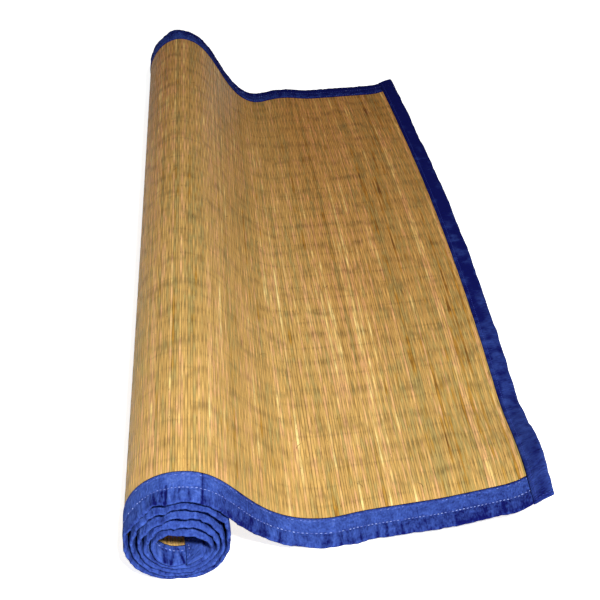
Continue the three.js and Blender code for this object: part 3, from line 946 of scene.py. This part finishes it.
def make_end_binding(is_outer, sizes, material):
    """Cloth tape folded over a short end and over both corners, with its own ends turned under."""
    inward, half, sign, outside = tape_section(END_TAPE, END_TAPE, END_TAPE_INSIDE, END_TAPE_EDGES)
    reach = np.array([-TIP["near"], -1.85, -1.4, -0.6, 0.6, 2])
    beyond = MAT_WIDTH + np.array([-2, -0.6, 0.4, 1, 1.4, TIP["far"]])
    between = np.linspace(4, MAT_WIDTH - 4, int((MAT_WIDTH - 8) / 3))
    stations = np.concatenate([reach, between, beyond])[None, :, None]
    section = inward[None, None, :]
    seed = 62 if is_outer else 68
    wave = 0.7 * noise(stations / 30, 0, seed) + 0.35 * noise(stations / 11, 0, seed + 1)
    stray = wave - END_BOW * 4 * stations * (MAT_WIDTH - stations) / MAT_WIDTH**2 if is_outer else 0.4 * wave
    strayed = section + stray * (1 - smooth(section / 14))
    from_tip = np.minimum(stations + TIP["near"], MAT_WIDTH + TIP["far"] - stations)
    from_edge = np.minimum(stations, MAT_WIDTH - stations)
    outer = end_tape_half(section, from_edge, is_outer)
    tip = np.sqrt(1 - (1 - np.clip(from_tip / 2.2, 0.04, 1)) ** 2)
    corner = smooth((CORNER_REACH - from_edge) / 4)
    inner = (half + CORNER_RISE * corner) * np.maximum(smooth((from_tip - 0.8) / 2.5), 0.03)
    height = sign * np.where(outside > 0, outer * tip, inner)
    length = end_length(strayed, is_outer)
    draw_near, draw_far = edge_y(length, "near"), MAT_WIDTH - edge_y(length, "far")
    place_y = stations + draw_near * (1 - stations / MAT_WIDTH) - draw_far * stations / MAT_WIDTH
    points = sheet_point(length, place_y, height)
    folded = 0.05 * (1 - smooth(section / 3))
    # Painted shade: the outer end's tape darkens from its near to its far corner, where less light falls.
    dye = mix(DYE_AND_SHADE["near_corner"], DYE_AND_SHADE["far_corner"], stations / MAT_WIDTH) if is_outer else DYE_AND_SHADE["near"]
    # Painted light and shade: the end's tape is lighter where its folds stand out and darker where they sink.
    tone_and_shade = dye + folded + 0.5 * (outer - half - CORNER_RISE * corner)
    values = {
        "cloth_place": vectors(section_arc(inward, half, sign), stations * MM, 1),
        "cloth_tone_and_shade": tone_and_shade,
        "cloth_mottle_amount": 0.45 if is_outer else 1,
    }
    end = "outer_end" if is_outer else "inner_end"
    name, replaces = end + "_binding_tape", [end + "_binding"]
    piece = make_tubes(name, points, material, "binding", replaces, strips=4, **values)
    return piece


# ------------------------------------------------------------------ stitches and loose fibres

STITCH_PROUD = 0.1  # the middle of a stitch over the tape


def capsules(starts, ends, radius):
    """Short rounded tubes from one point to another, as points by tube, ring and side."""
    run = ends - starts
    along = run / np.linalg.norm(run, axis=-1, keepdims=True)
    first = np.cross(along, (0.31, 0.9, 0.3))
    first = first / np.linalg.norm(first, axis=-1, keepdims=True)
    second = np.cross(along, first)
    angle = np.radians(np.arange(0, 360, 60))[None, None, :, None]
    share = np.array([0, 0.14, 0.86, 1])[None, :, None, None]
    size = radius * np.array([0.4, 1, 1, 0.4])[None, :, None, None]
    round_it = first[:, None, None] * np.cos(angle) + second[:, None, None] * np.sin(angle)
    return starts[:, None, None] + run[:, None, None] * share + size * round_it


def stitch_ends(middles, long, point_at):
    """Both ends of each stitch, from the places of their middles along a seam."""
    return [point_at(middles + shift) for shift in (-long / 2, long / 2)]


def long_seam(side, inward, top, spans, sizes):
    """The ends of each stitch of a seam along a long binding, over spans of the sheet's length."""
    pitch = sizes.stitch_pitch / MM
    middles = np.concatenate([np.arange(start, stop, pitch) for start, stop in spans])
    strayed = inward + 0.25 * noise(middles / pitch, 0, 81)

    def point_at(length):
        half = long_tape_half(length, strayed, side, top)
        return long_tape_point(length, strayed, top * (half + STITCH_PROUD), side)

    return stitch_ends(middles, sizes.stitch_length / MM, point_at)


def end_seam(is_outer, top, sizes):
    """The same along the tape of a short end."""
    pitch = sizes.stitch_pitch / MM
    middles = np.arange(4, MAT_WIDTH - 3, pitch)
    from_end = END_SEAM + 0.2 * noise(middles / pitch, 0, 83)
    length = end_length(from_end, is_outer)

    def point_at(width_place):
        half = end_tape_half(from_end, np.minimum(width_place, MAT_WIDTH - width_place), is_outer)
        place_y = across_sheet(length, width_place / MAT_WIDTH)
        return sheet_point(length, place_y, top * (half + STITCH_PROUD))

    return stitch_ends(middles, sizes.stitch_length / MM, point_at)


def corner_seam(at_near, sizes):
    """The short seam of finer stitches that closes the outer end's tape at a corner."""
    finer = 0.75
    from_edge = 1.4

    def point_at(from_end):
        length = end_length(from_end, True)
        half = end_tape_half(from_end, from_edge, True)
        place_y = edge_y(length, "near") + from_edge if at_near else edge_y(length, "far") - from_edge
        return sheet_point(length, place_y, half + STITCH_PROUD / 2)

    middles = np.arange(3.5, 19, sizes.stitch_pitch / MM * finer)
    return stitch_ends(middles, sizes.stitch_length / MM * finer, point_at)


def make_stitches(sizes, material):
    """Every seam that can be seen: on the open bindings, on both short ends and inside the roll's hole."""
    open_top = [(length_at_turn(1.15), SHEET_LENGTH - 24)]
    open_under = [(24, length_at_turn(ROLL_TURNS - 1.2)), (ROLL_TOP + 4, SHEET_LENGTH - 24)]
    seams = []  # each with how much paler its thread is
    for side, top, spans, tones in (
        ("near", 1, open_top, (0.06, -0.1)),
        ("near", -1, open_under, (0.1, 0)),
        ("far", 1, open_top, (-0.15, -0.15)),
        ("far", -1, open_under, (-0.15, -0.15)),
    ):
        for inward, tone in zip(LONG_SEAMS, tones):
            seams.append((long_seam(side, inward, top, spans, sizes), tone))
    seams += [
        (end_seam(True, 1, sizes), -0.28),
        (end_seam(True, -1, sizes), -0.12),
        (end_seam(False, -1, sizes), 0),
        (corner_seam(True, sizes), -0.1),
        (corner_seam(False, sizes), -0.15),
    ]
    starts, ends = (np.concatenate([seam[k] for seam, tone in seams]) for k in (0, 1))
    tones = np.concatenate([np.full(len(seam[0]), tone) for seam, tone in seams])
    points = capsules(starts, ends, sizes.stitch_thickness / 2)
    place = np.broadcast_to(points[:, :1, :1], points.shape)
    tone = np.broadcast_to(tones[:, None, None], points.shape[:3])
    return make_tubes(
        "stitches", points, material, "binding", (), rows=24, thread_place=place, thread_tone=tone
    )


FIBRES = 30
FIBRE_THICKNESS = 0.45


def make_fibres(material):
    """Loose dark fibres that lie on the reeds."""
    random = np.random.default_rng(5)
    length = random.uniform(length_at_turn(0.35), SHEET_LENGTH - 40, FIBRES)
    width_place = random.uniform(60, MAT_WIDTH - 60, FIBRES)
    heading = math.pi / 2 + random.normal(0, 0.5, FIBRES)
    bend = random.normal(0, 0.9, FIBRES)
    long = random.uniform(8, 22, FIBRES)
    share = np.linspace(-0.5, 0.5, 9)
    turned = heading[:, None] + bend[:, None] * share
    step = long[:, None] / (len(share) - 1)
    run_length = length[:, None] + np.cumsum(np.cos(turned) * step, axis=1)
    run_width = width_place[:, None] + np.cumsum(np.sin(turned) * step, axis=1)
    angle = np.radians(np.arange(0, 360, 90))[None, None, :]
    size = FIBRE_THICKNESS / 2 * (1 - 0.8 * np.abs(2 * share) ** 3)[None, :, None]
    across = -np.sin(turned)[:, :, None], np.cos(turned)[:, :, None]
    at_length = run_length[:, :, None] + across[0] * size * np.cos(angle)
    at_width = run_width[:, :, None] + across[1] * size * np.cos(angle)
    height = 0.95 + size * np.sin(angle)
    points = sheet_point(at_length, across_sheet(at_length, at_width / MAT_WIDTH), height)
    place = vectors(at_length * MM, at_width * MM, 0)
    return make_tubes("loose_fibres", points, material, "reeds", (), thread_place=place)


# ------------------------------------------------------------------ stage

FLOOR_SIZE = 12
CAMERA_PLACE = (-0.0723, -1.4314, 0.8559)
CAMERA_PITCH, CAMERA_YAW, CAMERA_ROLL = 33.1, 2.53, -3.67  # degrees down, to the right, and round
CAMERA_LENS = 68.9  # mm


def make_floor(material):
    mesh = bpy.data.meshes.new("floor")
    half = FLOOR_SIZE / 2
    corners = [(-half, -half, 0), (half, -half, 0), (half, half, 0), (-half, half, 0)]
    mesh.from_pydata(corners, [], [(0, 1, 2, 3)])
    mesh.materials.append(material)
    floor = bpy.data.objects.new("floor", mesh)
    bpy.context.scene.collection.objects.link(floor)


def make_world(colours):
    """Even pale light from all round. It is white to the eye and in gloss."""
    world = bpy.data.worlds.new("studio")
    world.use_nodes = True
    tree = world.node_tree
    tree.nodes.clear()
    light = add_node(tree, "Background", [("Color", colours.surroundings), ("Strength", 0.18)])
    white = add_node(tree, "Background", [("Color", (1, 1, 1)), ("Strength", 1)])
    rays = add_node(tree, "LightPath").outputs
    rays = [(0, rays["Is Camera Ray"]), (1, rays["Is Transmission Ray"])]
    seen = add_node(tree, "Math", rays, operation="MAXIMUM")
    shown = add_node(tree, "MixShader", [(0, seen), (1, light), (2, white)])
    add_node(tree, "OutputWorld", [("Surface", shown)])
    bpy.context.scene.world = world


def make_lamp(name, place, aim, size, power):
    data = bpy.data.lights.new(name, "AREA")
    data.shape = "DISK"
    data.size = size
    data.energy = power
    lamp = bpy.data.objects.new(name, data)
    lamp.location = place
    lamp.rotation_euler = (Vector(aim) - Vector(place)).to_track_quat("-Z", "Y").to_euler()
    bpy.context.scene.collection.objects.link(lamp)


def make_camera():
    pitch, yaw, roll = (math.radians(angle) for angle in (CAMERA_PITCH, CAMERA_YAW, CAMERA_ROLL))
    forward = Vector((math.sin(yaw) * math.cos(pitch), math.cos(yaw) * math.cos(pitch), -math.sin(pitch)))
    level = Vector((math.cos(yaw), -math.sin(yaw), 0))
    upright = level.cross(forward)
    right = math.cos(roll) * level + math.sin(roll) * upright
    up = math.cos(roll) * upright - math.sin(roll) * level
    data = bpy.data.cameras.new("camera")
    data.lens = CAMERA_LENS
    data.sensor_width = 36
    camera = bpy.data.objects.new("camera", data)
    turned = Matrix((right, up, -forward)).transposed().to_4x4()
    camera.matrix_world = Matrix.Translation(CAMERA_PLACE) @ turned
    bpy.context.scene.collection.objects.link(camera)
    bpy.context.scene.camera = camera


# ------------------------------------------------------------------ the add-on


def length_property(name, description, metres):
    return FloatProperty(name=name, description=description, default=metres, unit="LENGTH")


class ReedMatSizes(bpy.types.PropertyGroup):
    """Sizes of the mat's reeds, threads and tape."""

    reed_pitch: length_property("Reed pitch", "From one reed to the next", 0.0026)
    reed_overlap: FloatProperty(
        name="Reed overlap",
        description="Width of a reed over the room it has",
        default=1.42,
        subtype="FACTOR",
    )
    reed_thickness: length_property("Reed thickness", "Thickness of a flattened reed", 0.0009)
    warp_spacing: length_property("Warp spacing", "From one warp to the next", 0.03)
    warp_thickness: length_property("Warp thickness", "Thickness of a warp thread", 0.0004)
    weave_height: length_property("Weave height", "How far a reed bends over and under", 0.00019)
    long_tape_width: length_property("Long tape width", "Flat width of the long bindings' tape", 0.07)
    end_tape_width: length_property("End tape width", "Flat width of the short ends' tape", 0.044)
    tape_step: length_property("Tape step", "Mesh step along a long binding", 0.0015)
    stitch_pitch: length_property("Stitch pitch", "From one stitch to the next", 0.0044)
    stitch_length: length_property("Stitch length", "Length of a stitch", 0.0023)
    stitch_thickness: length_property("Stitch thickness", "Thickness of the sewing thread", 0.00055)


def colour_property(name, description, hex_colour):
    return FloatVectorProperty(
        name=name, description=description, default=linear(hex_colour), subtype="COLOR", size=3, min=0, max=1
    )


class ReedMatColours(bpy.types.PropertyGroup):
    """Colours of the mat's materials and its surroundings."""

    reed_brown: colour_property("Brown reed", "The darkest stems and their flecks", "#7A521E")
    reed_ochre: colour_property("Ochre reed", "Deep yellow stems", "#B98A38")
    reed_olive: colour_property("Olive reed", "Stems cut green", "#B0985A")
    reed_tan: colour_property("Tan reed", "Most of the stems", "#C39A56")
    reed_gold: colour_property("Golden reed", "Clean golden stems", "#D0A860")
    reed_rose: colour_property("Rose reed", "Reddish stems", "#D8A66E")
    reed_straw: colour_property("Straw reed", "Bleached stems", "#E2BE74")
    reed_pale: colour_property("Pale reed", "The palest stems", "#F2D68C")
    warp_light: colour_property("Clean warp", "Undyed cotton warps where they are clean", "#D2B078")
    warp_dark: colour_property("Stained warp", "Undyed cotton warps where dust has stained them", "#9A7436")
    # The darkest blue below is also the painted shade in the tape's folds and creases, and the palest blue
    # also its painted highlight on ridges.
    cloth_deep_shade: colour_property("Deep blue", "The tape in its folds", "#0D1257")
    cloth_blue: colour_property("Blue", "The tape's dye", "#3F5AAE")
    cloth_worn_and_lit: colour_property("Worn blue", "The tape where its ridges are rubbed", "#6B86D8")
    thread_light: colour_property("Pale thread", "The sewing thread where it is clean", "#AEC0FA")
    thread_dark: colour_property("Blue thread", "The sewing thread where dye has stained it", "#26389A")
    fibre: colour_property("Fibre", "Loose dark fibres", "#4A3A22")
    floor: colour_property("Floor", "The pale floor", "#F2F2F0")
    surroundings: colour_property("Surroundings", "The pale studio round the mat", "#FFFFFF")


COARSE_ENDS = (0.02, 0.04, 0.07, 0.12)  # shares of the width at which hidden reeds bend near their ends


class REED_MAT_OT_reeds(bpy.types.Operator):
    """Weave the reeds into the warps, as the sheet lies"""

    bl_idname = "reed_mat.reeds"
    bl_label = "Reeds and Warps"

    def execute(self, context):
        sizes, colours = context.scene.reed_mat_sizes, context.scene.reed_mat_colours
        reed = reed_material(colours, sizes.warp_spacing)
        lengths = reed_layout(sizes)[0]
        count = len(lengths)
        outside = int(np.searchsorted(lengths, length_at_turn(OUTSIDE_TURNS)))
        fine = np.linspace(*REED_ENDS, round(MAT_WIDTH / 10) + 1)
        ends = np.array(COARSE_ENDS)
        coarse = [REED_ENDS[:1], ends, np.linspace(0.25, 0.75, 4), 1 - ends[::-1], REED_ENDS[1:]]
        coarse = np.concatenate(coarse)
        make_reeds("reeds_wound_in", np.arange(outside), coarse, sizes, reed)
        groups = np.array_split(np.arange(outside, count), 3)
        for name, indices in zip(("reeds_roll", "reeds_fall", "reeds_floor"), groups):
            make_reeds(name, indices, fine, sizes, reed)
        cotton = thread_material("undyed_cotton_warp", colours.warp_light, colours.warp_dark, (90, 260, 1))
        make_warps(sizes, cotton)
        return {"FINISHED"}


class REED_MAT_OT_long_bindings(bpy.types.Operator):
    """Fold cotton tape over the two long edges"""

    bl_idname = "reed_mat.long_bindings"
    bl_label = "Long Bindings"

    def execute(self, context):
        material = tape_material(context.scene.reed_mat_colours)
        for side in ("near", "far"):
            make_long_binding(side, context.scene.reed_mat_sizes, material)
        return {"FINISHED"}


class REED_MAT_OT_end_bindings(bpy.types.Operator):
    """Fold cotton tape over the two short ends"""

    bl_idname = "reed_mat.end_bindings"
    bl_label = "End Bindings"

    def execute(self, context):
        material = bpy.data.materials["woven_cotton_tape"]
        for is_outer in (True, False):
            make_end_binding(is_outer, context.scene.reed_mat_sizes, material)
        return {"FINISHED"}


class REED_MAT_OT_stitches(bpy.types.Operator):
    """Sew the tape down"""

    bl_idname = "reed_mat.stitches"
    bl_label = "Stitches"

    def execute(self, context):
        colours = context.scene.reed_mat_colours
        tones = colours.thread_light, colours.thread_dark
        thread = thread_material("polyester_thread", *tones, (400, 400, 400))
        make_stitches(context.scene.reed_mat_sizes, thread)
        return {"FINISHED"}


class REED_MAT_OT_fibres(bpy.types.Operator):
    """Scatter loose fibres over the reeds"""

    bl_idname = "reed_mat.fibres"
    bl_label = "Loose Fibres"

    def execute(self, context):
        colours = context.scene.reed_mat_colours
        fibre = thread_material("loose_fibre", colours.fibre, colours.reed_brown, (120, 120, 1))
        make_fibres(fibre)
        return {"FINISHED"}


class REED_MAT_OT_stage(bpy.types.Operator):
    """Set out the floor, the lamps and the camera"""

    bl_idname = "reed_mat.stage"
    bl_label = "Stage"

    def execute(self, context):
        colours = context.scene.reed_mat_colours
        make_floor(floor_material(colours))
        make_world(colours)
        make_lamp("key_lamp", (0.22, -1.7, 1.44), (0.04, -0.1, 0), 0.2, 58)
        make_camera()
        context.scene.view_settings.view_transform = "Standard"
        return {"FINISHED"}


OPERATORS = (
    REED_MAT_OT_stage,
    REED_MAT_OT_reeds,
    REED_MAT_OT_long_bindings,
    REED_MAT_OT_end_bindings,
    REED_MAT_OT_stitches,
    REED_MAT_OT_fibres,
)


class REED_MAT_PT_panel(bpy.types.Panel):
    """Lists the mat's sizes, colours and pieces"""

    bl_idname = "REED_MAT_PT_panel"
    bl_label = "Reed Floor Mat"
    bl_space_type = "VIEW_3D"
    bl_region_type = "UI"
    bl_category = "Reed Mat"

    def draw(self, context):
        for group in (context.scene.reed_mat_sizes, context.scene.reed_mat_colours):
            column = self.layout.column()
            for key in group.__annotations__:
                column.prop(group, key)
        for operator in OPERATORS:
            self.layout.operator(operator.bl_idname)


CLASSES = (ReedMatSizes, ReedMatColours, *OPERATORS, REED_MAT_PT_panel)


def register():
    for cls in CLASSES:
        bpy.utils.register_class(cls)
    bpy.types.Scene.reed_mat_sizes = PointerProperty(type=ReedMatSizes)
    bpy.types.Scene.reed_mat_colours = PointerProperty(type=ReedMatColours)


def unregister():
    del bpy.types.Scene.reed_mat_sizes
    del bpy.types.Scene.reed_mat_colours
    for cls in reversed(CLASSES):
        bpy.utils.unregister_class(cls)


def main():
    register()
    bpy.ops.reed_mat.stage()
    bpy.ops.reed_mat.reeds()
    bpy.ops.reed_mat.long_bindings()
    bpy.ops.reed_mat.end_bindings()
    bpy.ops.reed_mat.stitches()
    bpy.ops.reed_mat.fibres()


if __name__ == "__main__":
    main()
